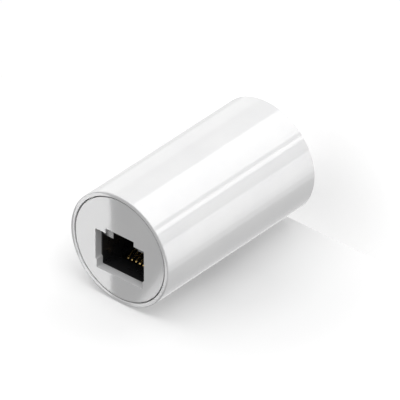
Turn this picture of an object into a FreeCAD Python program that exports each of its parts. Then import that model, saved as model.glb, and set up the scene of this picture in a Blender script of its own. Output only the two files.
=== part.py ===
"""Round RJ45 inline coupler: a white tube with a modular jack in each end.

The coupler stands on one end. The Z axis is the tube's axis and Z = 0 is the lower rim. The latch
side of both jacks faces -Y, and their contacts are on the +Y side. Everything is drawn about the
middle of the tube and lifted on to Z = 0 at the end. The lower jack, its contacts and its cap are
the upper ones turned half a turn about the Y axis, which keeps both latches on the same side.
Lengths are in millimetres.
"""
import math
import os

import FreeCAD
import Part

V = FreeCAD.Vector
X_AXIS, Y_AXIS, Z_AXIS = V(1, 0, 0), V(0, 1, 0), V(0, 0, 1)
ORIGIN = V(0, 0, 0)

# ---- the plug that goes in, which sets the socket -------------------------------------------
plug_width = 11.68
plug_height = 6.60
plug_play = 0.13             # room on each side of the plug
plug_reach = 12.2            # from the rim of the coupler to the plug's stop
latch_reach = 3.8            # from the rim to the shoulder that the latch catches behind
latch_width = 6.0
latch_neck_width = 3.7
latch_play = 0.15            # room on each side of the latch and of its neck
latch_step_height = 1.65     # latch side of the plug up to the catch shoulders
latch_neck_height = 3.2      # latch side of the plug up to the top of the neck
latch_chamber_height = 3.4   # latch side of the plug up to the roof behind the shoulders
socket_offset = 0.235        # tube axis to the socket wall on the latch side

# ---- spring contacts -------------------------------------------------------------------------
contact_count = 8
contact_pitch = 1.02
contact_width = 0.46
contact_thickness = 0.30
contact_bend = 0.45          # radius of the bends, to the middle of the strip
contact_joggle_corner = 0.45  # corner cut off at each end of the joggle
contact_nose_width = 1.15    # across the turned nose, to the middle of the strip
contact_nose_reach = 5.6     # plug stop to the nose
contact_tip_rise = 2.1       # how far the arm rises past the socket's contact wall
contact_tip_depth = 1.2      # from the plug stop down to the tip
contact_floor_gap = 1.475    # socket's contact wall to the strip that runs under it
contact_groove_play = 0.05   # room on each side of a strip in its groove
tail_row_step = 2.54         # between the straight row of tails and the joggled one
tail_protrusion = 0.9        # tail past the far face of the board

# ---- contact carrier -------------------------------------------------------------------------
channel_depth = 2.0          # under the socket's contact wall
channel_margin = 0.8         # outermost contact to the channel's side wall
carrier_half_width = 6.35
carrier_latch_edge = 2.45    # tube axis to the carrier's edge on the latch side
carrier_shoulder = 6.85      # tube axis to the carrier's step on the contact side
carrier_play = 0.05
carrier_standoff = 1.5       # carrier clear of the board, over the other jack's solder
carrier_tongue_thickness = 0.8
carrier_tongue_reach = 4.3   # past the plug stop
comb_slot_play = 0.08
comb_slot_depth = 1.9
comb_slot_rise = 2.7         # how far the comb slots reach past the socket's contact wall
nub_height = 0.45
nub_width = 2.2
nub_length = 1.6
nub_offset = 1.4             # tube axis to the middle of the nub
nub_above_board = 4.0
nub_play = 0.1

# ---- jack housing ----------------------------------------------------------------------------
housing_side_wall = 1.2
housing_floor_wall = 0.775
housing_roof_wall = 0.965
housing_corner_wall = 0.925
housing_edge_round = 0.4
channel_nose_room = 0.65     # past the contact noses
peg_diameter = 1.0
peg_length = 1.2
peg_play = 0.1
peg_offset_latch = 2.6
peg_offset_contact = 3.4

# ---- circuit board ---------------------------------------------------------------------------
board_thickness = 1.6
board_play = 0.25            # board edge to the tube's bore
board_hole_diameter = 0.70
solder_diameter = 1.2
solder_top_diameter = 0.64
solder_height = 0.6
small_round_sides = 8        # solder, pegs and the board's holes are tiny, so they are eight-sided

# ---- tube ------------------------------------------------------------------------------------
jack_length = 19.3           # board face to the underside of the end cap
housing_play = 0.3           # jack housing to the tube's bore
seat_width = 0.6             # shoulder that the end cap rests on
rim_wall = 0.9
rim_round = 0.4
rim_round_flats = 2          # short bevels that draw the rounded rim
rib_width = 1.2
rib_height = 0.8
rib_angle = 45.0             # above the X axis, towards the latch side
rib_play = 0.12

# ---- end cap ---------------------------------------------------------------------------------
cap_thickness = 1.8
cap_recess = 0.1             # cap below the rim
cap_gap = 0.25               # ring gap round the cap
aperture_half_width = 6.25
aperture_latch_edge = 2.30
aperture_notch_half_width = 3.63
aperture_notch_edge = 3.42
aperture_foot_half_width = 5.92
aperture_foot_step = 4.88
aperture_foot_edge = 6.68
skirt_wall = 1.1
skirt_depth = 2.0
skirt_play = 0.1
snap_arm_length = 5.0
snap_arm_width = 4.8
snap_hook_length = 1.4
snap_hook_lead = 0.4         # flat end of the hook under its ramp
snap_catch = 0.25            # hook past the tube's bore
snap_play = 0.15
cap_cutout_play = 0.2        # skirt and arms to the jack housing

# ---- worked out: across the tube (X and Y) ---------------------------------------------------
socket_half_width = plug_width / 2 + plug_play
socket_latch_y = -socket_offset
socket_contact_y = socket_latch_y + plug_height + 2 * plug_play
latch_half_width = latch_width / 2 + latch_play
neck_half_width = latch_neck_width / 2 + latch_play
step_y = socket_latch_y - latch_step_height
neck_y = socket_latch_y - latch_neck_height
chamber_y = socket_latch_y - latch_chamber_height

strip_y = socket_contact_y + contact_floor_gap
nose_y = strip_y - contact_nose_width
tip_y = socket_contact_y - contact_tip_rise
tail_rows_y = (strip_y, strip_y - tail_row_step)
groove_width = contact_width + 2 * contact_groove_play
groove_thickness = contact_thickness + 2 * contact_groove_play
comb_slot_width = contact_width + 2 * comb_slot_play

contact_span = (contact_count - 1) * contact_pitch
channel_half_width = contact_span / 2 + contact_width / 2 + channel_margin
channel_y = socket_contact_y + channel_depth
pocket_half_width = carrier_half_width + carrier_play

housing_half_width = pocket_half_width + housing_side_wall
housing_latch_y = chamber_y - housing_roof_wall
housing_contact_y = channel_y + housing_floor_wall
housing_radius = math.hypot(channel_half_width, channel_y) + housing_corner_wall
peg_x = pocket_half_width + housing_side_wall / 2
peg_hole_diameter = peg_diameter + 2 * peg_play

bore_radius = housing_radius + housing_play
mouth_radius = bore_radius + seat_width
tube_radius = mouth_radius + rim_wall
cap_radius = mouth_radius - cap_gap
skirt_radius = bore_radius - skirt_play
hook_radius = bore_radius + snap_catch
groove_radius = hook_radius + snap_play
board_radius = bore_radius - board_play

# ---- worked out: along the tube (Z, from its middle) -----------------------------------------
board_face_z = board_thickness / 2
seat_z = board_face_z + jack_length
cap_face_z = seat_z + cap_thickness
rim_z = cap_face_z + cap_recess
plug_stop_z = rim_z - plug_reach
catch_z = rim_z - latch_reach
carrier_base_z = board_face_z + carrier_standoff
strip_z = carrier_base_z + contact_thickness
nose_z = plug_stop_z + contact_nose_reach
channel_end_z = nose_z + contact_thickness / 2 + channel_nose_room
tongue_end_z = plug_stop_z + carrier_tongue_reach
hook_end_z = seat_z - snap_arm_length
hook_catch_z = hook_end_z + snap_hook_length


# ---- drawing helpers -------------------------------------------------------------------------
def block(x_range, y_range, z_range):
    """A rectangular block between three pairs of limits."""
    size = [high - low for low, high in (x_range, y_range, z_range)]
    return Part.makeBox(*size, V(x_range[0], y_range[0], z_range[0]))


def rounded_corner(before, corner, after, radius):
    """Start, middle and end of the arc that rounds a corner."""
    to_before = (before - corner).normalize()
    to_after = (after - corner).normalize()
    half_angle = to_before.getAngle(to_after) / 2
    reach = radius / math.tan(half_angle)
    bulge = radius / math.sin(half_angle) - radius
    middle = corner + (to_before + to_after).normalize() * bulge
    return corner + to_before * reach, middle, corner + to_after * reach


def outline_face(corners, place):
    """A flat face inside corners given as (a, b) or (a, b, radius); place puts (a, b) in space."""
    points = [place(corner[0], corner[1]) for corner in corners]
    radii = [corner[2] if len(corner) > 2 else 0 for corner in corners]
    arcs = []
    for i, point in enumerate(points):
        after = points[(i + 1) % len(points)]
        if radii[i]:
            arcs.append(rounded_corner(points[i - 1], point, after, radii[i]))
        else:
            arcs.append((point, None, point))
    edges = []
    for i, (start, middle, end) in enumerate(arcs):
        if middle:
            edges.append(Part.Arc(start, middle, end).toShape())
        next_start = arcs[(i + 1) % len(arcs)][0]
        edges.append(Part.LineSegment(end, next_start).toShape())
    return Part.Face(Part.Wire(edges))


def in_plan(x, y):
    return V(x, y, 0)


def in_side_view(y, z):
    return V(0, y, z)


def in_section(radius, z):
    return V(radius, 0, z)


def plan_prism(corners, z_range):
    """An outline in X and Y, drawn out from one height to another."""
    prism = outline_face(corners, in_plan).extrude(Z_AXIS * (z_range[1] - z_range[0]))
    prism.translate(Z_AXIS * z_range[0])
    return prism


def small_circle(diameter, x, y, z):
    """Corners of a small circle drawn with a few sides, each touching it at its middle."""
    corner_radius = diameter / 2 / math.cos(math.pi / small_round_sides)
    turns = [(i + 0.5) * 2 * math.pi / small_round_sides for i in range(small_round_sides)]
    return [V(x + corner_radius * math.cos(turn), y + corner_radius * math.sin(turn), z)
            for turn in turns]


def small_round_solid(foot_diameter, top_diameter, x, y, z_range):
    """A small pin or cone along Z, between two small circles."""
    foot = small_circle(foot_diameter, x, y, z_range[0])
    top = small_circle(top_diameter, x, y, z_range[1])
    flats = [foot, top]
    for i in range(small_round_sides):
        flats.append([foot[i - 1], foot[i], top[i], top[i - 1]])
    faces = [Part.Face(Part.makePolygon(corners + corners[:1])) for corners in flats]
    solid = Part.Solid(Part.Shell(faces))
    solid.fixTolerance(1e-7)
    return solid if solid.Volume > 0 else solid.reversed()


def mirrored_outline(half):
    """Corners on the +X side, in order of Y, followed by their mirror images."""
    return half + [(-corner[0],) + tuple(corner[1:]) for corner in reversed(half)]


def bent_strip(path, thickness, width):
    """A flat strip bent along a path of (y, z, bend radius), centred on X = 0."""
    left, right = [], []
    for i, (y, z, bend) in enumerate(path):
        point = V(y, z, 0)
        arriving = point - V(*path[i - 1][:2], 0) if i else V(*path[1][:2], 0) - point
        leaving = V(*path[i + 1][:2], 0) - point if i + 1 < len(path) else arriving
        normal_in = Z_AXIS.cross(arriving).normalize()
        normal_out = Z_AXIS.cross(leaving).normalize()
        offset = (normal_in + normal_out) * (thickness / 2 / (1 + normal_in.dot(normal_out)))
        turn = math.copysign(thickness / 2, normal_in.cross(normal_out).z)
        left.append((y + offset.x, z + offset.y, bend - turn if bend else 0))
        right.append((y - offset.x, z - offset.y, bend + turn if bend else 0))
    strip = outline_face(left + right[::-1], in_side_view).extrude(X_AXIS * width)
    strip.translate(X_AXIS * (-width / 2))
    return strip


def turned_end_for_end(shape):
    """The same piece for the other end: half a turn about Y keeps the latch side."""
    other = shape.copy()
    other.rotate(ORIGIN, Y_AXIS, 180)
    return other


def radial_bar(inner, outer, width, z_range, angle):
    """A bar along a radius, at an angle above +X or -X towards the latch side."""
    bar = block((inner, outer), (-width / 2, width / 2), z_range)
    bar.rotate(ORIGIN, Z_AXIS, angle)
    return bar


# ---- tube ------------------------------------------------------------------------------------
def rib_angles():
    return -rib_angle, rib_angle - 180


def rounded_rim():
    """The outer edge of the rim, as short bevels along a quarter circle."""
    centre_radius, centre_z = tube_radius - rim_round, rim_z - rim_round
    turns = [i * math.pi / 2 / rim_round_flats for i in range(rim_round_flats + 1)]
    return [(centre_radius + rim_round * math.sin(turn), centre_z + rim_round * math.cos(turn))
            for turn in turns]


def make_outer_sleeve():
    """Turned section with a seat and a snap groove at each end, and two guide ribs inside."""
    upper = [
        (bore_radius, hook_end_z),
        (groove_radius, hook_end_z),
        (groove_radius, hook_catch_z + snap_play),
        (bore_radius, hook_catch_z + snap_play),
        (bore_radius, seat_z),
        (mouth_radius, seat_z),
        (mouth_radius, rim_z),
    ] + rounded_rim()
    lower = [(radius, -z) for radius, z in reversed(upper)]
    sleeve = outline_face(upper + lower, in_section).revolve(ORIGIN, Z_AXIS, 360)
    ribs = [
        radial_bar(bore_radius - rib_height, mouth_radius, rib_width, (-seat_z, seat_z), angle)
        for angle in rib_angles()
    ]
    return sleeve.fuse(ribs).removeSplitter()


# ---- end cap ---------------------------------------------------------------------------------
def make_aperture():
    """The stepped opening for the plug and its latch."""
    corners = mirrored_outline([
        (aperture_notch_half_width, -aperture_notch_edge),
        (aperture_notch_half_width, -aperture_latch_edge),
        (aperture_half_width, -aperture_latch_edge),
        (aperture_half_width, aperture_foot_step),
        (aperture_foot_half_width, aperture_foot_step),
        (aperture_foot_half_width, aperture_foot_edge),
    ])
    return plan_prism(corners, (seat_z, cap_face_z))


def make_snap_arms():
    """Four arms with a ramped hook, which click into the groove in the tube."""
    section = outline_face([
        (skirt_radius - skirt_wall, seat_z),
        (skirt_radius, seat_z),
        (skirt_radius, hook_catch_z),
        (hook_radius, hook_catch_z),
        (hook_radius, hook_catch_z - snap_hook_lead),
        (skirt_radius, hook_end_z),
        (skirt_radius - skirt_wall, hook_end_z),
    ], in_section)
    half_angle = math.degrees(math.asin(snap_arm_width / 2 / skirt_radius))
    arms = []
    for side in range(4):
        start = section.copy()
        start.rotate(ORIGIN, Z_AXIS, 90 * side - half_angle)
        arms.append(start.revolve(ORIGIN, Z_AXIS, 2 * half_angle))
    return arms


def make_end_cap():
    """A flush plate with the aperture, and a skirt and four snap arms that hold it in the tube."""
    plate = Part.makeCylinder(cap_radius, cap_thickness, Z_AXIS * seat_z).cut(make_aperture())
    skirt = Part.makeCylinder(skirt_radius, skirt_depth, Z_AXIS * (seat_z - skirt_depth))
    skirt = skirt.cut(Part.makeCylinder(skirt_radius - skirt_wall, seat_z))
    skirt = skirt.fuse(make_snap_arms())
    keyways = [
        radial_bar(bore_radius - rib_height - rib_play, tube_radius,
                   rib_width + 2 * rib_play, (0, seat_z), angle)
        for angle in rib_angles()
    ]
    half_width = housing_half_width + cap_cutout_play
    jack_room = block((-half_width, half_width),
                      (housing_latch_y - cap_cutout_play, housing_contact_y + cap_cutout_play),
                      (0, seat_z))
    skirt = skirt.cut(keyways + [jack_room])
    return plate.fuse(skirt).removeSplitter()


# ---- jack housing ----------------------------------------------------------------------------
def pocket_for_carrier(play, z_range):
    """The carrier's outline, wide round the back of the socket and narrow under its floor."""
    corners = mirrored_outline([
        (carrier_half_width + play, -carrier_latch_edge - play),
        (carrier_half_width + play, carrier_shoulder + play),
        (channel_half_width - carrier_play + play, carrier_shoulder + play),
        (channel_half_width - carrier_play + play, channel_y - carrier_play + play),
    ])
    return plan_prism(corners, z_range)


def nub_window(side):
    """Window in a side wall of the housing for the carrier's nub."""
    middle_z = board_face_z + nub_above_board
    reach = (0, housing_half_width + nub_height) if side > 0 else (-housing_half_width - nub_height, 0)
    return block(reach,
                 (nub_offset - nub_width / 2 - nub_play, nub_offset + nub_width / 2 + nub_play),
                 (middle_z - nub_length / 2 - nub_play, middle_z + nub_length / 2 + nub_play))


def make_jack_housing():
    """Black moulded jack: socket, latch way and chamber, contact channel, and two board pegs.

    Its foot is cut back on the contact side, clear of the other jack's solder.
    """
    body = plan_prism(mirrored_outline([
        (housing_half_width, housing_latch_y, housing_edge_round),
        (housing_half_width, housing_contact_y),
    ]), (board_face_z, seat_z))
    body = body.common(Part.makeCylinder(housing_radius, rim_z))

    socket_z = (plug_stop_z, rim_z)
    cuts = [
        block((-socket_half_width, socket_half_width), (socket_latch_y, socket_contact_y), socket_z),
        block((-latch_half_width, latch_half_width), (step_y, socket_latch_y), socket_z),
        block((-neck_half_width, neck_half_width), (neck_y, step_y), socket_z),
        block((-latch_half_width, latch_half_width), (chamber_y, socket_latch_y),
              (plug_stop_z, catch_z)),
        block((-channel_half_width, channel_half_width), (socket_contact_y, channel_y),
              (plug_stop_z, channel_end_z)),
        pocket_for_carrier(carrier_play, (0, plug_stop_z)),
        block((-channel_half_width, channel_half_width), (channel_y, housing_contact_y),
              (board_face_z, carrier_base_z)),
        nub_window(1),
        nub_window(-1),
    ]
    pegs = [
        small_round_solid(peg_diameter, peg_diameter, x, y,
                          (board_face_z - peg_length, board_face_z + peg_length))
        for x, y in peg_places()
    ]
    return body.cut(cuts).fuse(pegs).removeSplitter()


def peg_places():
    return (peg_x, -peg_offset_latch), (-peg_x, peg_offset_contact)


# ---- spring contacts and their carrier -------------------------------------------------------
def contact_places():
    """Distance across the tube and tail row of each contact, first contact first."""
    first_x = contact_span / 2
    return [(first_x - i * contact_pitch, tail_rows_y[i % 2]) for i in range(contact_count)]


def contact_path(tail_y):
    """From the tail through the board, under the socket, round the nose and back up the arm.

    Every other contact has a joggle in its tail, so that the tails stand in two rows.
    """
    knee_z = plug_stop_z + contact_bend
    joggle = [(tail_y, strip_z - contact_joggle_corner, 0),
              (tail_y + contact_joggle_corner, strip_z, 0),
              (strip_y - contact_joggle_corner, strip_z, 0),
              (strip_y, strip_z + contact_joggle_corner, 0)]
    return [
        (tail_y, -board_face_z - tail_protrusion, 0),
        *(joggle if tail_y != strip_y else []),
        (strip_y, nose_z, contact_bend),
        (nose_y, nose_z, contact_bend),
        (tip_y, knee_z, 2 * contact_bend),
        (tip_y, plug_stop_z - contact_tip_depth, 0),
    ]


def make_contact(x, tail_y):
    contact = bent_strip(contact_path(tail_y), contact_thickness, contact_width)
    contact.translate(X_AXIS * x)
    return contact


def grooves_for_contact(x, tail_y):
    """Everything that one contact needs cut from the carrier."""
    channel = bent_strip(contact_path(tail_y), groove_thickness, groove_width)
    channel.translate(X_AXIS * x)
    groove_x = (x - groove_width / 2, x + groove_width / 2)
    slot_x = (x - comb_slot_width / 2, x + comb_slot_width / 2)
    under_strip = block(groove_x, (tail_y - groove_thickness / 2, strip_y + groove_thickness / 2),
                        (0, strip_z))
    over_strip = block(groove_x, (nose_y, strip_y), (plug_stop_z, nose_z))
    comb_slot = block(slot_x, (socket_contact_y - comb_slot_rise, strip_y + groove_thickness / 2),
                      (plug_stop_z - comb_slot_depth, nose_z))
    tongue_y = channel_y - carrier_play - carrier_tongue_thickness
    comb_slot = comb_slot.cut(block(slot_x, (tongue_y - plug_height, channel_y),
                                    (plug_stop_z, nose_z)))
    return [channel, under_strip, over_strip, comb_slot]


def carrier_nub(side):
    """Ramped nub that clicks into the window in the housing's side wall."""
    base_z = board_face_z + nub_above_board - nub_length / 2
    nub = outline_face([
        (side * (carrier_half_width - nub_height), base_z),
        (side * (carrier_half_width + nub_height), base_z),
        (side * (carrier_half_width + nub_height), base_z + nub_length / 3),
        (side * carrier_half_width, base_z + nub_length),
        (side * (carrier_half_width - nub_height), base_z + nub_length),
    ], in_section).extrude(Y_AXIS * nub_width)
    nub.translate(Y_AXIS * (nub_offset - nub_width / 2))
    return nub


def make_contact_carrier():
    """Insert behind the socket that holds the contacts, with a comb for their tips."""
    body = pocket_for_carrier(0, (carrier_base_z, plug_stop_z))
    tongue_half_width = channel_half_width - carrier_play
    tongue_y = channel_y - carrier_play
    tongue = block((-tongue_half_width, tongue_half_width),
                   (tongue_y - carrier_tongue_thickness, tongue_y), (plug_stop_z, tongue_end_z))
    body = body.fuse([tongue, carrier_nub(1), carrier_nub(-1)]).removeSplitter()
    cuts = []
    for x, tail_y in contact_places():
        cuts += grooves_for_contact(x, tail_y)
    return body.cut(cuts).removeSplitter()


# ---- circuit board and solder ----------------------------------------------------------------
def make_circuit_board():
    """Round board with a plated hole for each tail, four peg holes and two rib notches."""
    board = Part.makeCylinder(board_radius, board_thickness, Z_AXIS * -board_face_z)
    full_depth = (-board_thickness, board_thickness)
    cuts = []
    for side in (1, -1):
        for x, tail_y in contact_places():
            cuts.append(small_round_solid(board_hole_diameter, board_hole_diameter,
                                          side * x, tail_y, full_depth))
        for x, y in peg_places():
            cuts.append(small_round_solid(peg_hole_diameter, peg_hole_diameter,
                                          side * x, y, full_depth))
    cuts += [
        radial_bar(bore_radius - rib_height - rib_play, tube_radius,
                   rib_width + 2 * rib_play, full_depth, angle)
        for angle in rib_angles()
    ]
    return board.cut(cuts)


def make_solder_joints():
    """One small cone of solder round each tail, on the far face of the board."""
    joints = []
    for x, tail_y in contact_places():
        cone = small_round_solid(solder_diameter, solder_top_diameter, x, tail_y,
                                 (-board_face_z, -board_face_z - solder_height))
        tail = block((x - contact_width / 2, x + contact_width / 2),
                     (tail_y - contact_thickness / 2, tail_y + contact_thickness / 2),
                     (-board_face_z - 2 * solder_height, 0))
        joints.append(cone.cut(tail))
    return Part.Compound(joints)


# ---- the whole coupler -----------------------------------------------------------------------
def make_end(name):
    """The pieces that come once at each end, drawn at the upper end."""
    pieces = {
        name + "_end_cap": make_end_cap(),
        name + "_jack_housing": make_jack_housing(),
        name + "_contact_carrier": make_contact_carrier(),
        name + "_solder_joints": make_solder_joints(),
    }
    for number, (x, tail_y) in enumerate(contact_places(), start=1):
        pieces[f"{name}_contact_{number}"] = make_contact(x, tail_y)
    return pieces


def make_coupler():
    coupler = {"outer_sleeve": make_outer_sleeve(), "circuit_board": make_circuit_board()}
    coupler.update(make_end("front"))
    for name, piece in make_end("rear").items():
        coupler[name] = turned_end_for_end(piece)
    for piece in coupler.values():
        piece.translate(Z_AXIS * rim_z)
    return coupler


os.makedirs("parts", exist_ok=True)
for node, shape in make_coupler().items():
    shape.exportStep(f"parts/{node}.step")
    print(f"{node}: {len(shape.Solids)} solid, {shape.Volume:.3f} cubic mm, valid {shape.isValid()}")
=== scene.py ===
# %% [markdown]
# # A round inline network coupler
#
# The object is a white plastic tube, 25 mm across and 44 mm long, with a modular jack in each end.
# Two patch cords plug in, one from each side, and the tube joins them. The solid model is made
# beforehand. This file dresses it: it loads the solids, models finer pieces over them with
# Blender's own tools, and gives every piece the finish of the real material.
#
# Work in this order: load the solids, set up the camera and the light, then make one piece at a
# time, from the outside in.

import math

import bmesh
import bpy
from mathutils import Matrix, Quaternion, Vector


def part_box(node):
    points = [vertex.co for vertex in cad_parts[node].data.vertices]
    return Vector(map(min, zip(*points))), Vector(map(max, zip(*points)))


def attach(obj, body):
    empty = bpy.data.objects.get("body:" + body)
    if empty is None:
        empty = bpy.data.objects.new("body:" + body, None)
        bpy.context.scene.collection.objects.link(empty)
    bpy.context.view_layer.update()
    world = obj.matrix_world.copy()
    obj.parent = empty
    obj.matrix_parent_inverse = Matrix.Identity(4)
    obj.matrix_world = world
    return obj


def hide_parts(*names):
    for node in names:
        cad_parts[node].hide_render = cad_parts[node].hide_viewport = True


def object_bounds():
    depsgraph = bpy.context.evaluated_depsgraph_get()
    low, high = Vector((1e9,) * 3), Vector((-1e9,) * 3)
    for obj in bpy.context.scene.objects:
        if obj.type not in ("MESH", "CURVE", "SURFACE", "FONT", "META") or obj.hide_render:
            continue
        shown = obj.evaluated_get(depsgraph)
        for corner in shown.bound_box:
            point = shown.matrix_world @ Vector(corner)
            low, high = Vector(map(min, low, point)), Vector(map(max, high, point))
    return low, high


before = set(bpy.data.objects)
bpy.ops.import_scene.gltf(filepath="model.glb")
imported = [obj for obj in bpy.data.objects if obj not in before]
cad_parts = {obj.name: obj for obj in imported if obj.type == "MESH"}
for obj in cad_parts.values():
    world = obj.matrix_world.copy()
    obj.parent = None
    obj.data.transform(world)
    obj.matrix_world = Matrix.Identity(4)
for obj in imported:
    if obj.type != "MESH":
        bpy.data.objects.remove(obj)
cad_low, cad_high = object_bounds()
print("solids:", len(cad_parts), "size in mm:", [round(v * 1000, 2) for v in cad_high - cad_low])

# %% [markdown]
# The tube stands on one end, so Z runs along it and the floor is at zero. Lengths are easier to
# read in millimetres, but Blender works in metres, so each one is multiplied by `mm`. The latch
# side of both jacks faces -Y, and their contacts are on the +Y side.
#
# The lower end is the upper one turned half a turn about Y, so only upper pieces are modelled.

# %% Size of the tube
mm = 0.001
tube_length = cad_high.z - cad_low.z
tube_radius = (cad_high.x - cad_low.x) / 2
tube_middle = Vector((0, 0, tube_length / 2))
print("tube:", round(tube_length / mm, 2), "mm long,", round(2 * tube_radius / mm, 2), "mm across")

# %% [markdown]
# ## Camera
#
# A small product is best taken with a very long lens from far away, because then its sides stay
# parallel. The camera looks down at the upper end from the latch side. It is rolled over, so that
# the tube lies across the picture with its upper end at the lower left.

# %% Place the camera
camera_back = Vector((-0.5388, -0.5632, 0.6262)).normalized()
camera_roll = math.radians(-123.2)
camera_distance = 2.168
shift_right, shift_up = 1.31, 0.31
camera_turn = (-camera_back).to_track_quat("-Z", "Y") @ Quaternion((0, 0, 1), camera_roll)
camera_right = camera_turn @ Vector((1, 0, 0))
camera_up = camera_turn @ Vector((0, 1, 0))
aim = tube_middle + camera_right * shift_right * mm + camera_up * shift_up * mm

lens = bpy.data.cameras.new("long_lens")
lens.lens = 1000
lens.sensor_width = 36
lens.clip_start = 0.1
lens.clip_end = 10
camera = bpy.data.objects.new("camera", lens)
camera.location = aim + camera_back * camera_distance
camera.rotation_mode = "QUATERNION"
camera.rotation_quaternion = camera_turn
bpy.context.scene.collection.objects.link(camera)
bpy.context.scene.camera = camera
bpy.context.scene.view_settings.view_transform = "Standard"
print("camera at", [round(v, 3) for v in camera.location])

# %% [markdown]
# ## Floor, backdrop and light
#
# A pale floor is under the tube, and a pale backdrop stands close behind it, to catch its soft
# shadow. Both are white paper. Part of their whiteness is a painted glow, for the camera only:
# little of it close to the tube, so that the paper stays painted darker there along the cast shadow,
# and more further away, where the paper must be as white as an empty page. That way no more light
# is needed, which would wash out the tube.
#
# The papers are seen from their front only and are seen by nothing but the camera, so that they
# hide the tube from no side.

# %% White paper for the floor and the backdrop
def new_material(title):
    """A new material, and its node tree with nothing in it."""
    material = bpy.data.materials.new(title)
    material.use_nodes = True
    tree = material.node_tree
    tree.nodes.clear()
    return material, tree


def add_node(tree, kind, **inputs):
    """A node with its inputs set; an input is a value, or another node's output."""
    node = tree.nodes.new(kind)
    for key, value in inputs.items():
        socket = node.inputs[int(key[1:])] if key[1:].isdigit() else node.inputs[key.replace("_", " ")]
        if isinstance(value, bpy.types.NodeSocket):
            tree.links.new(value, socket)
        else:
            socket.default_value = value
    return node


def white_paper(title, spot, near_spot, far_away):
    """White paper, clear from behind, with a painted glow that grows away from a shaded spot, so the paper is
    painted darker near it.

    Each pair is a distance from the spot in millimetres and the strength of the painted glow there.
    """
    material, tree = new_material(title)
    matt = add_node(tree, "ShaderNodeBsdfDiffuse", Color=(0.80, 0.80, 0.80, 1))
    place = add_node(tree, "ShaderNodeTexCoord").outputs["Object"]
    away = add_node(tree, "ShaderNodeVectorMath", i0=place, i1=spot)
    away.operation = "DISTANCE"
    # Painted glow for the camera: its strength grows outwards from the shaded spot, so the paper is painted
    # darker near the tube and whiter away from it.
    glow_strength = add_node(tree, "ShaderNodeMapRange", i0=away.outputs["Value"], i1=near_spot[0] * mm,
                   i2=far_away[0] * mm, i3=near_spot[1], i4=far_away[1])
    painted_glow = add_node(tree, "ShaderNodeEmission", Color=(1, 1, 1, 1), Strength=glow_strength.outputs[0])
    both = add_node(tree, "ShaderNodeAddShader", i0=matt.outputs[0], i1=painted_glow.outputs[0])
    side = add_node(tree, "ShaderNodeNewGeometry")
    clear = add_node(tree, "ShaderNodeBsdfTransparent")
    front_only = add_node(tree, "ShaderNodeMixShader", i0=side.outputs["Backfacing"],
                          i1=both.outputs[0], i2=clear.outputs[0])
    add_node(tree, "ShaderNodeOutputMaterial", Surface=front_only.outputs[0])
    return material


def camera_only(thing):
    """Leave a thing in the camera's sight and take it out of every reflection and shadow."""
    thing.visible_diffuse = False
    thing.visible_glossy = False
    thing.visible_transmission = False
    thing.visible_shadow = False


def add_sheet(title, place, turn, spot, near_spot, far_away):
    bpy.ops.mesh.primitive_plane_add(size=3, location=place, rotation=turn)
    sheet = bpy.context.object
    sheet.name = title
    bpy.ops.object.transform_apply(location=True, rotation=True, scale=True)
    sheet.data.materials.append(white_paper(f"{title}_paper", spot, near_spot, far_away))
    camera_only(sheet)


behind_tube = tube_radius + 0.03 * mm
below_tube = -0.01 * mm
# Each paper's painted glow: weak near the shaded spot by the tube, strong far from it.
add_sheet("floor", (0, 0, below_tube), (0, 0, 0),
          Vector((-14, 0, 0)) * mm, (3, 0.46), (21, 0.66))
add_sheet("backdrop", (0, behind_tube, 0), (math.radians(90), 0, 0),
          Vector((-14, 12.5, 24)) * mm, (6, 0.08), (42, 0.32))

# %% [markdown]
# The light is soft and comes from upright panels that stand round the tube, all at one distance.
# Each is placed by its turn and width in degrees: zero is on the camera's side, and positive turns
# towards the picture's lower right. Its height decides what it does. The camera looks down, so the
# tube's side mirrors what is below it: low panels draw the bright bands along the gloss, and high
# ones only light the plastic.

# %% Light panels
panel_distance = 0.8
towards_camera = Vector((camera_back.x, camera_back.y, 0)).normalized()
towards_lower_right = Vector((towards_camera.y, -towards_camera.x, 0))
low_panel = (-0.80, -0.54)
high_panel = (-0.12, 0.46)


def add_panel(title, turn, width, heights, radiance):
    """An upright soft panel that faces the tube and isn't seen by the camera."""
    angle = math.radians(turn)
    out = towards_camera * math.cos(angle) + towards_lower_right * math.sin(angle)
    light = bpy.data.lights.new(title, "AREA")
    light.shape = "RECTANGLE"
    light.size = 2 * panel_distance * math.tan(math.radians(width / 2))
    light.size_y = heights[1] - heights[0]
    light.energy = radiance * math.pi * light.size * light.size_y
    panel = bpy.data.objects.new(title, light)
    panel.location = tube_middle + out * panel_distance + Vector((0, 0, sum(heights) / 2))
    panel.rotation_mode = "QUATERNION"
    panel.rotation_quaternion = out.to_track_quat("Z", "Y")
    panel.visible_camera = False
    bpy.context.scene.collection.objects.link(panel)
    print(title, "at", [round(v, 2) for v in panel.location], "watts:", round(light.energy, 2))


panels = (
    ("left_panel", -120, 40, low_panel, 0.55),
    ("band_panel", -28, 55, low_panel, 3.0),
    ("narrow_panel", 10.5, 7.5, low_panel, 4.2),
    ("middle_panel", 27, 20, low_panel, 1.0),
    ("right_panel", 52.5, 31, low_panel, 3.2),
    ("step_panel", 73, 10, low_panel, 2.4),
    ("far_right_panel", 84, 12, low_panel, 1.1),
    ("key_panel", -47, 75, high_panel, 1.9),
    ("front_panel", 0, 60, high_panel, 0.8),
)
for title, turn, width, heights, radiance in panels:
    add_panel(title, turn, width, heights, radiance)

# %% [markdown]
# The upper cap is flat and glossy, so it mirrors one spot of the ceiling, and a small card of light
# hung there gives it a tone of its own. A near card has a crisp edge on the cap, and a card further
# away has a soft one. The cards light the gloss only: the plastic's own colour isn't lit by them.

# %% Cards over the end cap
cap_recess = 0.1
plate_z = tube_length - cap_recess * mm
mirrored = Vector((-camera_back.x, -camera_back.y, camera_back.z))


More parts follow.
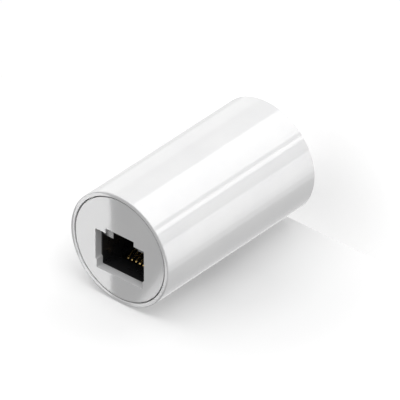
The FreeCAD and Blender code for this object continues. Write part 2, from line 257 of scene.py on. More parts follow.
def add_card(title, x, y, size, turn, height, radiance):
    """A card of light face down over the upper cap, whose middle is mirrored at (x, y) of the cap."""
    light = bpy.data.lights.new(title, "AREA")
    light.shape = "RECTANGLE"
    light.size, light.size_y = size[0] * mm, size[1] * mm
    light.energy = radiance * math.pi * light.size * light.size_y
    card = bpy.data.objects.new(title, light)
    card.location = Vector((x * mm, y * mm, plate_z)) + mirrored * (height * mm / mirrored.z)
    card.rotation_euler.z = math.radians(turn)
    card.visible_camera = False
    card.visible_diffuse = False
    bpy.context.scene.collection.objects.link(card)
    print(title, "at", [round(v / mm, 1) for v in card.location])


add_card("sharp_card", 8.0, 0, (11.07, 27), 0, 13, 5.15)
add_card("soft_card", -11.0, 6.9, (28, 6.6), 57.9, 30, 3.4)

# %% [markdown]
# The world is the pale room round the set. It is plain white to the camera and in every mirror, and
# it gives a weaker even light to dull surfaces, so that no side of the tube falls dark. A Light Path
# node tells the two apart.

# %% Fill light from all round
world = bpy.data.worlds.new("studio")
bpy.context.scene.world = world
world.use_nodes = True
world.node_tree.nodes.clear()
ray = add_node(world.node_tree, "ShaderNodeLightPath")
seen_or_mirrored = ray.outputs["Is Camera Ray"]
for kind in ("Is Glossy Ray", "Is Transmission Ray"):
    either = add_node(world.node_tree, "ShaderNodeMath", i0=seen_or_mirrored, i1=ray.outputs[kind])
    either.operation = "MAXIMUM"
    seen_or_mirrored = either.outputs[0]
fill = add_node(world.node_tree, "ShaderNodeBackground", Color=(1, 1, 1, 1), Strength=0.32)
white = add_node(world.node_tree, "ShaderNodeBackground", Color=(1, 1, 1, 1), Strength=1.0)
studio = add_node(world.node_tree, "ShaderNodeMixShader", i0=seen_or_mirrored,
                  i1=fill.outputs[0], i2=white.outputs[0])
add_node(world.node_tree, "ShaderNodeOutputWorld", Surface=studio.outputs[0])

# %% [markdown]
# ## Ways of working in edit mode
#
# Every new piece starts as a primitive at its own size and place, and is shaped in edit mode. An
# operator acts on all that is selected, so everything is deselected first, and then faces, edges
# or corners are chosen in code by where they are.

# %% Choose and shape
def edit(piece):
    bpy.ops.object.select_all(action="DESELECT")
    bpy.context.view_layer.objects.active = piece
    piece.select_set(True)
    bpy.ops.object.mode_set(mode="EDIT")
    bpy.ops.mesh.select_all(action="DESELECT")


def leave_edit():
    bpy.ops.object.mode_set(mode="OBJECT")


def choose(piece, kind, test):
    """Select the corners, edges or faces that pass the test, and return how many there are."""
    bpy.context.tool_settings.mesh_select_mode = (kind == "VERT", kind == "EDGE", kind == "FACE")
    bpy.ops.mesh.select_all(action="DESELECT")
    mesh = bmesh.from_edit_mesh(piece.data)
    chosen = [e for e in {"VERT": mesh.verts, "EDGE": mesh.edges, "FACE": mesh.faces}[kind] if test(e)]
    for element in chosen:
        element.select_set(True)
    mesh.select_flush_mode()
    bmesh.update_edit_mesh(piece.data)
    return len(chosen)


def near(a, b, slack=0.004 * mm):
    return abs(a - b) < slack


def all_corners(element, test):
    return all(test(corner.co) for corner in element.verts)


def push(x=0.0, y=0.0, z=0.0):
    """Extrude what is selected by a distance in millimetres."""
    bpy.ops.mesh.extrude_region_move(TRANSFORM_OT_translate={"value": (x * mm, y * mm, z * mm)})


def grow(factor_x, factor_y, centre=(0, 0, 0)):
    bpy.ops.transform.resize(value=(factor_x, factor_y, 1), center_override=centre)

# %% [markdown]
# ## Finishes
#
# The tube is moulded in glossy white ABS. Such plastic is never perfectly even: the colour drifts a
# little with the flow of the melt, and the skin has a very faint waviness, called orange peel,
# which softens reflections. Noise textures in Object coordinates give both, at a scale of
# millimetres, and a fainter one breaks up the gloss, as handling does.

# %% Finish of moulded plastic
def noise(tree, scale, detail=3.0, roughness=0.5, vector=None):
    node = add_node(tree, "ShaderNodeTexNoise", Scale=scale, Detail=detail, Roughness=roughness)
    if vector is None:
        vector = add_node(tree, "ShaderNodeTexCoord").outputs["Object"]
    tree.links.new(vector, node.inputs["Vector"])
    return node.outputs[0]


def ramp(tree, factor, low, high, dark, bright):
    """Colours from dark to bright as the factor goes from low to high."""
    node = add_node(tree, "ShaderNodeValToRGB", i0=factor)
    first, last = node.color_ramp.elements
    first.position, last.position = low, high
    first.color, last.color = (*dark, 1), (*bright, 1)
    return node.outputs["Color"]


def spread(tree, factor, low, high, to_low, to_high):
    node = add_node(tree, "ShaderNodeMapRange", i0=factor, i1=low, i2=high, i3=to_low, i4=to_high)
    return node.outputs[0]


def bump(tree, height, distance, strength=1.0, below=None):
    node = add_node(tree, "ShaderNodeBump", Height=height, Distance=distance, Strength=strength)
    if below is not None:
        tree.links.new(below, node.inputs["Normal"])
    return node.outputs[0]


def moulded_plastic(title, dark, bright, gloss, peel, grain):
    """Plastic whose colour drifts from dark to bright, with a wavy skin and a fine grain."""
    material, tree = new_material(title)
    flow = noise(tree, 120, detail=2)
    wear = noise(tree, 700, detail=4)
    shader = add_node(tree, "ShaderNodeBsdfPrincipled", IOR=1.5,
                      Base_Color=ramp(tree, flow, 0.35, 0.65, dark, bright),
                      Roughness=spread(tree, wear, 0.35, 0.65, gloss[0], gloss[1]))
    skin = bump(tree, noise(tree, 260, detail=1), peel * mm)
    fine = bump(tree, noise(tree, 5200, detail=2), grain * mm, below=skin)
    tree.links.new(fine, shader.inputs["Normal"])
    add_node(tree, "ShaderNodeOutputMaterial", Surface=shader.outputs[0])
    return material


tube_white = moulded_plastic("glossy_white_plastic", (0.845, 0.845, 0.85), (0.875, 0.875, 0.875),
                             (0.07, 0.10), 0.002, 0.0001)
cap_white = moulded_plastic("satin_white_plastic", (0.79, 0.79, 0.795), (0.81, 0.81, 0.81),
                            (0.09, 0.12), 0.002, 0.0002)
jack_black = moulded_plastic("black_jack_plastic", (0.014, 0.014, 0.015), (0.022, 0.022, 0.023),
                             (0.26, 0.36), 0.004, 0.002)
print("plastics:", tube_white.name, cap_white.name, jack_black.name)

# %% [markdown]
# ## The tube
#
# The tube is turned in outline: a rounded rim, a mouth that the end cap sits in, a seat for the cap,
# a groove that its snap hooks click into, and a bore. It starts as a solid cylinder. The rim is
# bevelled, then each end face is inset and pushed in, step by step, and at the last the two inner
# faces are bridged into one bore. This gives clean rings with no seams.

# %% Start a round piece
def add_round(title, radius, z, sides=192):
    """A cylinder primitive along the tube's axis."""
    bpy.ops.mesh.primitive_cylinder_add(vertices=sides, radius=radius * mm, depth=(z[1] - z[0]) * mm,
                                        location=(0, 0, (z[0] + z[1]) / 2 * mm))
    piece = bpy.context.object
    piece.name = title
    bpy.ops.object.transform_apply(location=True, rotation=True, scale=True)
    return piece

# %% Hollow the tube from both ends
rim_round = 0.2
mouth_chamfer = 0.07
mouth_radius = 11.6
bore_radius = 11.0
groove_radius = 11.4
seat_depth = 1.9
groove_start = 5.35
groove_end = 6.9

tube = add_round("tube_shell", tube_radius / mm, (0, tube_length / mm))
edit(tube)
rims = choose(tube, "EDGE", lambda e: all_corners(e, lambda c: near(c.z, 0) or near(c.z, tube_length))
              and near(e.verts[0].co.z, e.verts[1].co.z))
bpy.ops.mesh.bevel(offset=rim_round * mm, segments=5, profile=0.5, affect="EDGES")
for end_z, inwards in ((tube_length, -1), (0, 1)):
    choose(tube, "FACE", lambda f: abs(f.normal.z) > 0.99 and all_corners(f, lambda c: near(c.z, end_z)))
    bpy.ops.mesh.inset(thickness=(tube_radius / mm - rim_round - mouth_radius - mouth_chamfer) * mm)
    bpy.ops.mesh.inset(thickness=mouth_chamfer * mm, depth=-mouth_chamfer * mm)
    push(z=inwards * (seat_depth - mouth_chamfer))
    bpy.ops.mesh.inset(thickness=(mouth_radius - bore_radius) * mm)
    push(z=inwards * (groove_start - seat_depth))
    push()
    grow(groove_radius / bore_radius, groove_radius / bore_radius)
    push(z=inwards * (groove_end - groove_start))
    push()
    grow(bore_radius / groove_radius, bore_radius / groove_radius)
    bpy.ops.mesh.delete(type="FACE")
inner_rings = choose(tube, "EDGE", lambda e: e.is_boundary)
bpy.ops.mesh.bridge_edge_loops()
leave_edit()
print("rim edges:", rims, "bridged edges:", inner_rings)

# %% [markdown]
# Two ribs run along the bore. They key the circuit board and both caps, so that the two sockets
# stand in line. Each rib is a long block with softened inner edges. A Boolean modifier welds it to
# the wall, and the same modifier will cut the openings later.

# %% Make a block, and weld or cut with it
def add_block(title, x, y, z):
    """A cube primitive stretched between three pairs of limits in millimetres."""
    lows, highs = zip(x, y, z)
    centre = [(a + b) / 2 * mm for a, b in zip(lows, highs)]
    size = [(b - a) * mm for a, b in zip(lows, highs)]
    bpy.ops.mesh.primitive_cube_add(size=1, location=centre, scale=size)
    block = bpy.context.object
    block.name = title
    bpy.ops.object.transform_apply(location=True, rotation=True, scale=True)
    return block


def combine(piece, tool, operation):
    """Cut a tool from a piece or weld it on, and throw the tool away."""
    cut = piece.modifiers.new("combine", "BOOLEAN")
    cut.operation, cut.solver, cut.object = operation, "EXACT", tool
    bpy.context.view_layer.objects.active = piece
    bpy.ops.object.modifier_apply(modifier=cut.name)
    bpy.data.objects.remove(tool)

# %% Add the guide ribs
rib_width = 1.2
rib_height = 0.8
rib_root = 0.3
rib_round = 0.15
rib_angles = (-45, -135)

for rib_angle in rib_angles:
    rib = add_block("rib", (bore_radius - rib_height, bore_radius + rib_root),
                    (-rib_width / 2, rib_width / 2), (seat_depth, tube_length / mm - seat_depth))
    edit(rib)
    choose(rib, "EDGE", lambda e: all_corners(e, lambda c: near(c.x, (bore_radius - rib_height) * mm)))
    bpy.ops.mesh.bevel(offset=rib_round * mm, segments=3, affect="EDGES")
    leave_edit()
    rib.data.transform(Matrix.Rotation(math.radians(rib_angle), 4, "Z"))
    combine(tube, rib, "UNION")
print("tube with ribs:", len(tube.data.polygons), "faces")

# %% [markdown]
# Every piece gets the same last steps. Doubled corners are merged, and all faces are turned to look
# outwards. Faces that meet at a small angle are shaded as one smooth surface, and sharper edges stay
# sharp. A Weighted Normal modifier then lets the large faces decide the shading, so that a rounded
# edge doesn't bend the reflections in the flat area beside it. At the last the piece takes its
# finish and stands in for its solid.

# %% Finish the tube
def finish_piece(piece, material, slot, *nodes):
    """Shade it smooth, give it its finish, and put it in place of its solid."""
    edit(piece)
    bpy.ops.mesh.select_all(action="SELECT")
    bpy.ops.mesh.remove_doubles(threshold=0.0005 * mm)
    bpy.ops.mesh.normals_make_consistent(inside=False)
    leave_edit()
    bpy.ops.object.shade_smooth_by_angle(angle=math.radians(28))
    flat_areas = piece.modifiers.new("flat_areas", "WEIGHTED_NORMAL")
    flat_areas.weight, flat_areas.keep_sharp = 100, True
    bpy.ops.object.modifier_apply(modifier=flat_areas.name)
    piece.data.materials.clear()
    piece.data.materials.append(material)
    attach(piece, "root")
    if nodes:
        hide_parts(*nodes)
    low = [min(v.co[i] for v in piece.data.vertices) / mm for i in range(3)]
    high = [max(v.co[i] for v in piece.data.vertices) / mm for i in range(3)]
    print(piece.name, "faces:", len(piece.data.polygons), "from", [round(v, 2) for v in low],
          "to", [round(v, 2) for v in high])


finish_piece(tube, tube_white, "sleeve_white", "outer_sleeve")

# %% [markdown]
# ## The end caps
#
# Each cap is a round plate, flush in the mouth of the tube, with a stepped opening for the plug and
# its latch. Under it hang a short skirt and four springy arms with hooks, which hold the cap in
# the tube. The opening is cut with one stepped block: the narrow step lets the latch lever through.

# %% Block that cuts the plug opening
plate_top = tube_length / mm - cap_recess
seat_z = tube_length / mm - seat_depth
opening_half_width = 6.25
opening_edge = (-2.30, 4.88)
notch_half_width, notch_edge = 3.63, -3.42
foot_half_width, foot_edge = 5.92, 6.68
opening_round = 0.18
cut_past = 0.5


def plug_opening_block():
    block = add_block("plug_opening", (-opening_half_width, opening_half_width), opening_edge,
                      (seat_z - cut_past, plate_top + cut_past))
    edit(block)
    choose(block, "FACE", lambda f: f.normal.y < -0.9)
    push()
    grow(notch_half_width / opening_half_width, 1)
    push(y=notch_edge - opening_edge[0])
    choose(block, "FACE", lambda f: f.normal.y > 0.9
           and all_corners(f, lambda c: near(c.y, opening_edge[1] * mm)))
    push()
    grow(foot_half_width / opening_half_width, 1)
    push(y=foot_edge - opening_edge[1])
    corners = choose(block, "EDGE", lambda e: near(e.verts[0].co.x, e.verts[1].co.x)
                     and near(e.verts[0].co.y, e.verts[1].co.y)
                     and not (near(abs(e.verts[0].co.x), notch_half_width * mm)
                              and near(e.verts[0].co.y, opening_edge[0] * mm))
                     and not (near(abs(e.verts[0].co.x), foot_half_width * mm)
                              and near(e.verts[0].co.y, opening_edge[1] * mm)))
    bpy.ops.mesh.bevel(offset=opening_round * mm, segments=4, affect="EDGES")
    leave_edit()
    print("rounded corners of the opening:", corners)
    return block

# %% [markdown]
# The plate's underside is inset twice, which leaves a ring. The ring is pushed down as the skirt,
# then four short stretches of it are pushed on as the arms. The hooks are the arms' outer faces
# pulled outwards, with their lower corners pulled back in as a ramp.

# %% Model the upper cap
cap_radius = 11.35
cap_chamfer = 0.07
skirt_radius, skirt_wall, skirt_depth = 10.9, 1.1, 2.0
arm_length, hook_length, hook_flat = 5.0, 1.4, 0.4
hook_radius = 11.25
ramp_foot_radius = skirt_radius + 0.02
arm_half_angle = 13.2


def across(point):
    """Distance from the tube's axis."""
    return math.hypot(point.x, point.y)


def on_an_arm(point):
    """True where one of the four arms is, seen along the tube."""
    turn = math.degrees(math.atan2(point.y, point.x)) % 90
    return min(turn, 90 - turn) < arm_half_angle


cap = add_round("front_cap_plate", cap_radius, (seat_z, plate_top))
edit(cap)
choose(cap, "EDGE", lambda e: all_corners(e, lambda c: near(c.z, plate_top * mm)))
bpy.ops.mesh.bevel(offset=cap_chamfer * mm, segments=3, affect="EDGES")
choose(cap, "FACE", lambda f: f.normal.z < -0.99)
bpy.ops.mesh.inset(thickness=(cap_radius - skirt_radius) * mm)
bpy.ops.mesh.inset(thickness=skirt_wall * mm)
choose(cap, "FACE", lambda f: f.normal.z < -0.99
       and skirt_radius - skirt_wall < across(f.calc_center_median()) / mm < skirt_radius)
push(z=-skirt_depth)
skirt_z = seat_z - skirt_depth
hook_end_z = seat_z - arm_length
hook_catch_z = hook_end_z + hook_length
choose(cap, "FACE", lambda f: f.normal.z < -0.99 and near(f.calc_center_median().z, skirt_z * mm)
       and on_an_arm(f.calc_center_median()))
push(z=hook_catch_z - skirt_z)
push(z=-hook_flat)
push(z=hook_end_z - hook_catch_z + hook_flat)
choose(cap, "FACE", lambda f: abs(f.normal.z) < 0.1 and f.calc_center_median().z < hook_catch_z * mm
       and near(across(f.calc_center_median()), skirt_radius * mm, 0.02 * mm))
push()
grow(hook_radius / skirt_radius, hook_radius / skirt_radius)
choose(cap, "VERT", lambda v: near(v.co.z, hook_end_z * mm) and near(across(v.co), hook_radius * mm))
grow(ramp_foot_radius / hook_radius, ramp_foot_radius / hook_radius)
leave_edit()

# %% [markdown]
# Three things are cut from the cap: the plug opening, the room that the jack needs below the plate,
# and two keyways that slide over the ribs. A narrow bevel then rounds the edges, as a mould does.
# The other cap is the same piece turned end for end, so it is copied and its points are turned.

# %% Soften the edges of a piece, and copy it to the other end
def soften(piece, width, segments=2, angle=35):
    """Round the sharp edges with a bevel, as a mould or a deburring tool leaves them."""
    bevel = piece.modifiers.new("soften", "BEVEL")
    bevel.width, bevel.segments = width * mm, segments
    bevel.limit_method, bevel.angle_limit = "ANGLE", math.radians(angle)
    bevel.use_clamp_overlap = True
    bpy.context.view_layer.objects.active = piece
    bpy.ops.object.modifier_apply(modifier=bevel.name)


def copy_of(piece, title):
    other = bpy.data.objects.new(title, piece.data.copy())
    bpy.context.scene.collection.objects.link(other)
    return other


def turned_end_for_end(piece, title):
    """The same piece for the lower end: half a turn about Y through the tube's middle."""
    other = copy_of(piece, title)
    half_turn = Matrix.Rotation(math.pi, 4, "Y")
    other.data.transform(Matrix.Translation(tube_middle) @ half_turn @ Matrix.Translation(-tube_middle))
    return other

# %% Cut the opening, the jack's room and the keyways
room_half_width = 7.8
room_edges = (-4.8, 9.6)
keyway_play = 0.12
keyway_half_width = rib_width / 2 + keyway_play
below_plate = (hook_end_z - 1, seat_z)

combine(cap, plug_opening_block(), "DIFFERENCE")
jack_room = add_block("jack_room", (-room_half_width, room_half_width), room_edges, below_plate)
combine(cap, jack_room, "DIFFERENCE")
for rib_angle in rib_angles:
    keyway = add_block("keyway", (bore_radius - rib_height - keyway_play, bore_radius + 1),
                       (-keyway_half_width, keyway_half_width), below_plate)
    keyway.data.transform(Matrix.Rotation(math.radians(rib_angle), 4, "Z"))
    combine(cap, keyway, "DIFFERENCE")
cap_edge_round = 0.06
soften(cap, cap_edge_round, angle=50)

rear_cap = turned_end_for_end(cap, "rear_cap_plate")
finish_piece(cap, cap_white, "cap_white", "front_end_cap")
finish_piece(rear_cap, cap_white, "cap_white", "rear_end_cap")

# %% [markdown]
# ## The jacks
#
# A modular jack is a black moulded box. Its socket, its latch way and its pegs are already right in
# the solid model, so a copy of that mesh is used: doubled corners are merged, flat areas are
# dissolved to single faces, and a small bevel rounds the edges, as on every moulding. The solid's
# own mesh stays as it is.

# %% Softened copies of the jack housings
def softened_copy(node, title, width):
    piece = bpy.data.objects.new(title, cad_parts[node].data.copy())
    bpy.context.scene.collection.objects.link(piece)
    edit(piece)
    bpy.ops.mesh.select_all(action="SELECT")
    bpy.ops.mesh.remove_doubles(threshold=0.001 * mm)
    bpy.ops.mesh.dissolve_limited(angle_limit=math.radians(1))
    leave_edit()
    soften(piece, width, angle=50)
    return piece


jack_edge_round = 0.08
front_jack = softened_copy("front_jack_housing", "front_jack_shell", jack_edge_round)
rear_jack = turned_end_for_end(front_jack, "rear_jack_shell")
finish_piece(front_jack, jack_black, "jack_black", "front_jack_housing")
finish_piece(rear_jack, jack_black, "jack_black", "rear_jack_housing")

# %% [markdown]
# Behind the socket sits the contact carrier. It is moulded in glass-filled plastic, which is duller
# than the jack and shows short fibres in the direction that the melt flowed. A noise stretched along
# Z by a Mapping node gives the fibres.

# %% Contact carriers
carrier_black, tree = new_material("glass_filled_black_plastic")
place = add_node(tree, "ShaderNodeTexCoord").outputs["Object"]
along = add_node(tree, "ShaderNodeMapping", Vector=place, Scale=(1.0, 1.0, 0.12)).outputs[0]
fibres = noise(tree, 5200, detail=3, vector=along)
shader = add_node(tree, "ShaderNodeBsdfPrincipled", IOR=1.5,
                  Base_Color=ramp(tree, fibres, 0.40, 0.72, (0.020, 0.020, 0.022), (0.050, 0.050, 0.053)),
                  Roughness=spread(tree, fibres, 0.3, 0.7, 0.55, 0.42),
                  Normal=bump(tree, fibres, 0.006 * mm))
add_node(tree, "ShaderNodeOutputMaterial", Surface=shader.outputs[0])

carrier_edge_round = 0.03
front_carrier = softened_copy("front_contact_carrier", "front_comb_carrier", carrier_edge_round)
rear_carrier = turned_end_for_end(front_carrier, "rear_comb_carrier")
finish_piece(front_carrier, carrier_black, "carrier_black", "front_contact_carrier")
finish_piece(rear_carrier, carrier_black, "carrier_black", "rear_contact_carrier")

# %% [markdown]
# ## The spring contacts
#
# A contact is a flat strip of spring bronze, bent in a press. It stands in the circuit board, runs
# up under the socket, turns over at the nose and slants back over the socket's floor, where the
# plug's blades press it down. Every other tail has a joggle, so that the tails stand in two rows.
#
# It is formed here as in the press. The strip's outline, a small rectangle of four edges, is
# extruded along each straight run and spun round each bend, and at the last both ends are closed.

# %% Form a contact along its path
strip_width, strip_thickness, strip_bend = 0.46, 0.30, 0.45
strip_edge_round = 0.035
corner_cut, joggle_bend = 0.45, 0.35
degrees_a_step = 11
contact_count = 8
pitch = 1.02
strip_y, joggled_y = 8.10, 5.56
nose_y, tip_y = 6.95, 4.525
tail_end_z, strip_z, nose_z, knee_z, tip_z = 20.3, 24.6, 37.4, 32.25, 30.6


def form_strip(title, path):
    """A strip bent along corners given as (y, z, bend radius) in millimetres."""
    start, following = Vector((0, *path[0][:2])), Vector((0, *path[1][:2]))
    bpy.ops.mesh.primitive_plane_add(size=strip_width * mm, location=start * mm)
    strip = bpy.context.object
    strip.name = title
    bpy.ops.object.transform_apply(location=True, rotation=True, scale=True)
    edit(strip)
    choose(strip, "FACE", lambda f: True)
    grow(1, strip_thickness / strip_width, start * mm)
    bpy.ops.mesh.delete(type="ONLY_FACE")
    choose(strip, "EDGE", lambda e: True)
    here, heading = start, (following - start).normalized()
    for i in range(1, len(path)):
        corner = Vector((0, *path[i][:2]))
        if i + 1 == len(path):
            push(*(corner - here))
            break
        onwards = (Vector((0, *path[i + 1][:2])) - corner).normalized()
        turn = heading.angle(onwards)
        reach = path[i][2] * math.tan(turn / 2)
        bend_start, bend_end = corner - heading * reach, corner + onwards * reach
        push(*(bend_start - here))
        to_centre = (onwards - heading * heading.dot(onwards)).normalized()
        centre = bend_start + to_centre * path[i][2]
        axis = heading.cross(onwards)
        bpy.ops.mesh.spin(steps=max(3, round(math.degrees(turn) / degrees_a_step)), angle=-turn,
                          center=centre * mm, axis=axis)
        here, heading = bend_end, onwards
        chosen = [v.co for v in bmesh.from_edit_mesh(strip.data).verts if v.select]
        off = (sum(chosen, Vector()) / len(chosen) / mm - bend_end).length
        print(title, "bend", i, "turn", round(math.degrees(turn)), "off by", round(off, 5))
    for end_z in (path[0][1], path[-1][1]):
        choose(strip, "EDGE", lambda e: e.is_boundary and all_corners(e, lambda c: near(c.z, end_z * mm)))
        bpy.ops.mesh.edge_face_add()
    leave_edit()
    return strip


bends = [(strip_y, nose_z, strip_bend), (nose_y, nose_z, strip_bend),
         (tip_y, knee_z, 2 * strip_bend), (tip_y, tip_z, 0)]
straight = form_strip("straight_contact", [(strip_y, tail_end_z, 0)] + bends)
joggled = form_strip("joggled_contact", [(joggled_y, tail_end_z, 0),
                                         (joggled_y, strip_z - corner_cut, joggle_bend),
                                         (joggled_y + corner_cut, strip_z, joggle_bend),
                                         (strip_y - corner_cut, strip_z, joggle_bend),
                                         (strip_y, strip_z + corner_cut, joggle_bend)] + bends)
for strip in (straight, joggled):
    soften(strip, strip_edge_round, angle=50)

# %% [markdown]
# Where the plug's blades touch, the strip is plated with gold. The tail that is soldered is tinned.
# Both are one material: the height above or below the tube's middle says where the gold begins.
# Rolling leaves fine lines along the strip, and a stretched noise gives these.

# %% Gold and tin plating
plating, tree = new_material("gold_plated_strip")
place = add_node(tree, "ShaderNodeTexCoord").outputs["Object"]
height = add_node(tree, "ShaderNodeSeparateXYZ", Vector=place).outputs["Z"]
from_middle = add_node(tree, "ShaderNodeMath", i0=height, i1=tube_length / 2)
from_middle.operation = "SUBTRACT"
distance = add_node(tree, "ShaderNodeMath", i0=from_middle.outputs[0])
distance.operation = "ABSOLUTE"
tin_until, gold_from = 4.2 * mm, 4.8 * mm
gold_share = spread(tree, distance.outputs[0], tin_until, gold_from, 0, 1)
lines = noise(tree, 9000, detail=2,
              vector=add_node(tree, "ShaderNodeMapping", Vector=place, Scale=(1, 0.08, 0.08)).outputs[0])
blotches = noise(tree, 1400, detail=2)
gold = ramp(tree, blotches, 0.3, 0.7, (0.86, 0.57, 0.20), (0.95, 0.68, 0.29))
tin = ramp(tree, blotches, 0.3, 0.7, (0.62, 0.62, 0.62), (0.72, 0.72, 0.71))
colour = add_node(tree, "ShaderNodeMixRGB", Fac=gold_share, Color1=tin, Color2=gold)
shader = add_node(tree, "ShaderNodeBsdfPrincipled", Base_Color=colour.outputs[0], Metallic=1.0,
                  Roughness=spread(tree, lines, 0.3, 0.7, 0.24, 0.36),
                  Normal=bump(tree, lines, 0.002 * mm))
add_node(tree, "ShaderNodeOutputMaterial", Surface=shader.outputs[0])

# %% [markdown]
# Eight contacts stand side by side in each jack, and every second one is the joggled kind. Each is a
# copy with a mesh of its own, moved to its place along X. The lower row is turned end for end.

# %% Set out eight contacts in each end
def contact_x(number):
    """Place of a contact along X, counted from one; the row lies evenly about the axis."""
    return ((contact_count + 1) / 2 - number) * pitch * mm


for number in range(1, contact_count + 1):
    master = straight if number % 2 else joggled
    upper = copy_of(master, f"front_spring_contact_{number}")
    upper.data.transform(Matrix.Translation((contact_x(number), 0, 0)))
    lower = turned_end_for_end(upper, f"rear_spring_contact_{number}")
    finish_piece(upper, plating, "contact_gold", f"front_contact_{number}")
    finish_piece(lower, plating, "contact_gold", f"rear_contact_{number}")
for master in (straight, joggled):
    bpy.data.objects.remove(master)

# %% [markdown]
# ## The circuit board
#
# The board joins each contact to its partner in the other jack. Its solid is right as it is: a round
# plate with holes for the tails and pegs. Only its finish is made here. The green solder mask is
# glossy over a woven glass laminate, so two crossed wave textures raise a very faint weave. Round
# each hole a tinned ring is bare of mask. The ring is drawn from the distance to the nearest hole:
# a Math node wraps the position to one pitch of each row. The cut edge has no mask, so there the
# yellow laminate shows its thin layers.

# %% Finish of the circuit board
board_low, board_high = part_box("circuit_board")
board_radius = (board_high.x - board_low.x) / 2
laminate, tree = new_material("solder_mask_on_laminate")
place = add_node(tree, "ShaderNodeTexCoord").outputs["Object"]
axes = add_node(tree, "ShaderNodeSeparateXYZ", Vector=place)


def calculate(tree, operation, *values):
    node = tree.nodes.new("ShaderNodeMath")
    node.operation = operation
    for socket, value in zip(node.inputs, values):
        if isinstance(value, bpy.types.NodeSocket):
            tree.links.new(value, socket)
        else:
            socket.default_value = value
    return node.outputs[0]


def distance_to_row(row_y, first_x, step):
    """Distance to the nearest hole of a row of holes."""
    shifted = calculate(tree, "SUBTRACT", axes.outputs["X"], first_x - step / 2)
    wrapped = calculate(tree, "SUBTRACT", calculate(tree, "FLOORED_MODULO", shifted, step), step / 2)
    up = calculate(tree, "SUBTRACT", axes.outputs["Y"], row_y)
    return calculate(tree, "SQRT", calculate(tree, "ADD", calculate(tree, "MULTIPLY", wrapped, wrapped),
                                             calculate(tree, "MULTIPLY", up, up)))


half_pitch = pitch / 2 * mm
row_half_length = 4.1 * mm
ring_radius, ring_blur = 0.50 * mm, 0.03 * mm
nearest = calculate(tree, "MINIMUM", distance_to_row(strip_y * mm, half_pitch, pitch * mm),
                    distance_to_row(joggled_y * mm, half_pitch, pitch * mm))
in_rows = calculate(tree, "LESS_THAN", calculate(tree, "ABSOLUTE", axes.outputs["X"]), row_half_length)
ring = calculate(tree, "MULTIPLY", in_rows, spread(tree, nearest, ring_radius, ring_radius - ring_blur, 0, 1))
weave = [add_node(tree, "ShaderNodeTexWave", Vector=place, Scale=520, Distortion=0.6) for _ in range(2)]
weave[0].bands_direction, weave[1].bands_direction = "X", "Y"
cloth = calculate(tree, "MULTIPLY", weave[0].outputs["Fac"], weave[1].outputs["Fac"])
mask = ramp(tree, calculate(tree, "ADD", calculate(tree, "MULTIPLY", cloth, 0.5), noise(tree, 300)),
            0.3, 1.1, (0.010, 0.105, 0.040), (0.022, 0.190, 0.075))
face = add_node(tree, "ShaderNodeMixRGB", Fac=ring, Color1=mask, Color2=(0.72, 0.72, 0.71, 1))
from_axis = calculate(tree, "SQRT", calculate(tree, "ADD",
                                              calculate(tree, "POWER", axes.outputs["X"], 2),
                                              calculate(tree, "POWER", axes.outputs["Y"], 2)))
edge_skin = 0.03 * mm
cut_edge = calculate(tree, "GREATER_THAN", from_axis, board_radius - edge_skin)
layers = ramp(tree, noise(tree, 4000, vector=add_node(tree, "ShaderNodeMapping", Vector=place,
                                                      Scale=(0.1, 0.1, 1)).outputs[0]),
              0.35, 0.65, (0.42, 0.36, 0.16), (0.58, 0.52, 0.28))
surface = add_node(tree, "ShaderNodeMixRGB", Fac=cut_edge, Color1=face.outputs[0], Color2=layers)
shader = add_node(tree, "ShaderNodeBsdfPrincipled", Base_Color=surface.outputs[0], Metallic=ring,
                  Roughness=spread(tree, noise(tree, 900), 0.35, 0.65, 0.22, 0.34),
                  Normal=bump(tree, cloth, 0.003 * mm))
add_node(tree, "ShaderNodeOutputMaterial", Surface=shader.outputs[0])
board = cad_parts["circuit_board"]
board.data.materials.clear()
board.data.materials.append(laminate)
print("board:", [round(v / mm, 2) for v in board_high - board_low])

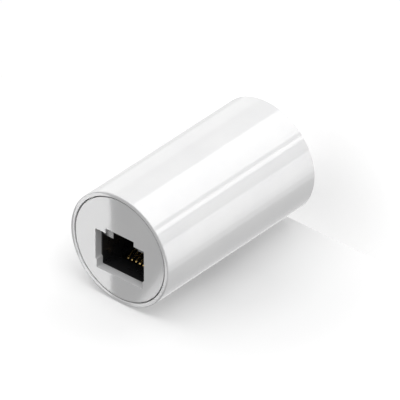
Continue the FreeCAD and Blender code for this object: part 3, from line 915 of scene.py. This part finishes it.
# %% [markdown]
# ## The solder joints
#
# Molten solder climbs each tail and leaves a hollow-sided cone. One joint is modelled: a disc is
# extruded along the tail in rings that narrow quickly at first and slowly later. The metal is bright
# but not a mirror: it froze in a moment, and a fine noise dulls it in patches.

# %% Model the solder
solder_metal, tree = new_material("bright_solder")
dull = noise(tree, 1500, detail=3)
shader = add_node(tree, "ShaderNodeBsdfPrincipled", Metallic=1.0,
                  Base_Color=ramp(tree, dull, 0.3, 0.7, (0.60, 0.60, 0.61), (0.74, 0.74, 0.75)),
                  Roughness=spread(tree, dull, 0.3, 0.7, 0.16, 0.34),
                  Normal=bump(tree, noise(tree, 2600), 0.004 * mm))
add_node(tree, "ShaderNodeOutputMaterial", Surface=shader.outputs[0])

solder_base_z = 21.2
solder_rings = ((0.60, 0.0), (0.58, 0.07), (0.47, 0.16), (0.39, 0.30), (0.34, 0.45), (0.31, 0.60))

bpy.ops.mesh.primitive_circle_add(vertices=24, radius=solder_rings[0][0] * mm, fill_type="NGON",
                                  location=(0, 0, solder_base_z * mm))
cone = bpy.context.object
bpy.ops.object.transform_apply(location=True, rotation=True, scale=True)
edit(cone)
choose(cone, "FACE", lambda f: True)
for (last_radius, last_rise), (radius, rise) in zip(solder_rings, solder_rings[1:]):
    push(z=last_rise - rise)
    grow(radius / last_radius, radius / last_radius)
leave_edit()
print("solder cone:", len(cone.data.polygons), "faces")

# %% [markdown]
# The cone is copied to all eight tails and the copies are joined into one piece. The other side of
# the board gets the same piece, turned end for end.

# %% Copy the solder to every tail
joints = []
for number in range(1, contact_count + 1):
    joint = copy_of(cone, f"solder_cone_{number}")
    tail_y = strip_y if number % 2 else joggled_y
    joint.data.transform(Matrix.Translation((contact_x(number), tail_y * mm, 0)))
    joints.append(joint)
bpy.data.objects.remove(cone)
bpy.ops.object.select_all(action="DESELECT")
for joint in joints:
    joint.select_set(True)
bpy.context.view_layer.objects.active = joints[0]
bpy.ops.object.join()
front_solder = bpy.context.object
front_solder.name = "front_solder_cones"
rear_solder = turned_end_for_end(front_solder, "rear_solder_cones")
finish_piece(front_solder, solder_metal, "solder", "front_solder_joints")
finish_piece(rear_solder, solder_metal, "solder", "rear_solder_joints")
